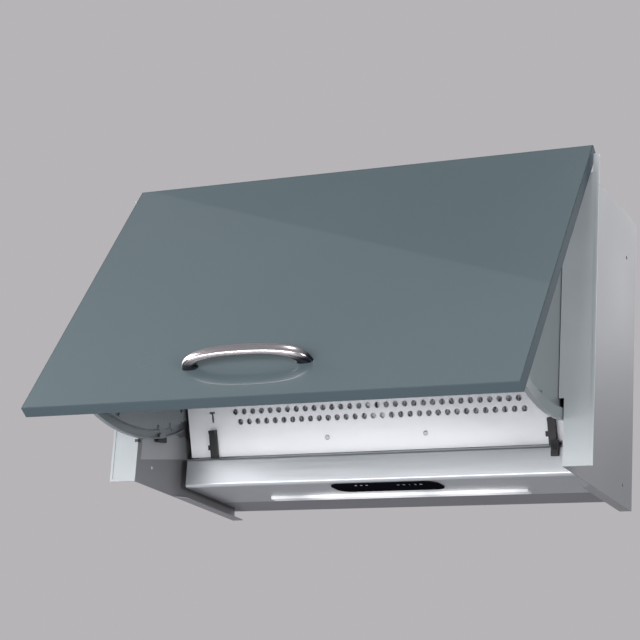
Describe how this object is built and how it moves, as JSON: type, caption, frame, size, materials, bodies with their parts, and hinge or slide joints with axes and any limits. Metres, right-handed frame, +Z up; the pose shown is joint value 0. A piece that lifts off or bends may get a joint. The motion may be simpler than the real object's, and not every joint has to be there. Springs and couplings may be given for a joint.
{
  "type": "built-in range hood",
  "caption": "Built-in range hood with a furniture front on swing arms, perforated grille, light strip, push buttons, fan and duct collar.",
  "frame": {"origin": "middle of the cabinet's front edge plane, at the height where the back of the closed front meets the back of the open front", "axes": "+X to the right seen from the kitchen, +Y into the cabinet, +Z up"},
  "size_m": [0.598, 0.4742, 0.4],
  "materials": {
    "body_steel": "galvanised sheet, satin",
    "inner_steel": "grey coating, satin",
    "grille_paint": "pale coating, satin",
    "beam_steel": "brushed along its length",
    "arm_steel": "zinc-plated sheet, satin",
    "fixings": "zinc plated",
    "filter_frame": "rolled, satin",
    "filter_mesh": "layered expanded mesh",
    "black_plastic": "moulded, matt",
    "gloss_black": "moulded, glossy",
    "lens": "frosted, lit",
    "tray_white": "moulded, matt",
    "board": "circuit board",
    "fan_plastic": "moulded, matt",
    "motor_steel": "plated, satin",
    "front_paint": "painted fibreboard, silk",
    "handle_nickel": "satin nickel"
  },
  "bodies": {
    "hood": {"left_side": "body_steel", "right_side": "body_steel", "rear_panel": "body_steel", "top_panel": "body_steel", "front_rail": "body_steel", "filter_ledge": "body_steel", "left_guide_plate": "body_steel", "right_guide_plate": "body_steel", "left_cheek": "inner_steel", "right_cheek": "inner_steel", "bottom_pan": "inner_steel", "front_grille": "grille_paint", "front_beam": "beam_steel", "left_hinge_bracket": "arm_steel", "right_hinge_bracket": "arm_steel", "grille_screws": "fixings", "hinge_pins": "fixings", "case_screws": "fixings", "left_filter_frame": "filter_frame", "right_filter_frame": "filter_frame", "left_filter_mesh": "filter_mesh", "right_filter_mesh": "filter_mesh", "beam_caps": "black_plastic", "notch_clips": "black_plastic", "capacitor": "black_plastic", "cable_gland": "black_plastic", "outlet_collar": "black_plastic", "control_bezel": "gloss_black", "light_lens": "lens", "indicator_pipes": "lens", "light_tray": "tray_white", "control_board": "board", "light_board": "board", "fan_scroll": "fan_plastic", "electronics_box": "fan_plastic", "motor": "motor_steel", "motor_bracket": "motor_steel"},
    "front": {"door_panel": "front_paint", "door_edging": "front_paint", "handle": "handle_nickel", "handle_screws": "fixings", "left_arm": "arm_steel", "right_arm": "arm_steel", "hinge_bushes": "black_plastic", "door_screws": "fixings", "guide_pads": "black_plastic"},
    "impeller": {"fan_wheel": "fan_plastic", "fan_shaft": "fixings"},
    "flap_front": {"front_flap": "fan_plastic"},
    "flap_rear": {"rear_flap": "fan_plastic"},
    "latch_left": {"left_latch": "black_plastic"},
    "latch_right": {"right_latch": "black_plastic"},
    "key_1": {"button_1": "gloss_black"},
    "key_2": {"button_2": "gloss_black"},
    "key_3": {"button_3": "gloss_black"},
    "key_4": {"button_4": "gloss_black"},
    "key_5": {"button_5": "gloss_black"}
  },
  "joints": [
    {"name": "front_swing", "type": "hinge", "parent": "hood", "child": "front", "pos_m": [0, 0.006, -0.00237], "axis": [1, 0, 0], "range_deg": [0, 33]},
    {"name": "impeller_spin", "type": "hinge", "parent": "hood", "child": "impeller", "pos_m": [0, 0.16, -0.115], "axis": [1, 0, 0], "continuous": true},
    {"name": "front_flap_swing", "type": "hinge", "parent": "hood", "child": "flap_front", "pos_m": [0, 0.1885, 0.038], "axis": [-1, 0, 0], "range_deg": [0, 80]},
    {"name": "rear_flap_swing", "type": "hinge", "parent": "hood", "child": "flap_rear", "pos_m": [0, 0.1955, 0.038], "axis": [1, 0, 0], "range_deg": [0, 80]},
    {"name": "left_latch_slide", "type": "slide", "parent": "hood", "child": "latch_left", "axis": [0, -0.3355, 0.9421], "range_m": [0, 0.008]},
    {"name": "right_latch_slide", "type": "slide", "parent": "hood", "child": "latch_right", "axis": [0, -0.3355, 0.9421], "range_m": [0, 0.008]},
    {"name": "button_1_press", "type": "slide", "parent": "hood", "child": "key_1", "axis": [0, 0, 1], "range_m": [0, 0.0012], "stiffness_N_per_m": 300, "springref_m": -0.002},
    {"name": "button_2_press", "type": "slide", "parent": "hood", "child": "key_2", "axis": [0, 0, 1], "range_m": [0, 0.0012], "stiffness_N_per_m": 300, "springref_m": -0.002},
    {"name": "button_3_press", "type": "slide", "parent": "hood", "child": "key_3", "axis": [0, 0, 1], "range_m": [0, 0.0012], "stiffness_N_per_m": 300, "springref_m": -0.002},
    {"name": "button_4_press", "type": "slide", "parent": "hood", "child": "key_4", "axis": [0, 0, 1], "range_m": [0, 0.0012], "stiffness_N_per_m": 300, "springref_m": -0.002},
    {"name": "button_5_press", "type": "slide", "parent": "hood", "child": "key_5", "axis": [0, 0, 1], "range_m": [0, 0.0012], "stiffness_N_per_m": 300, "springref_m": -0.002}
  ]
}
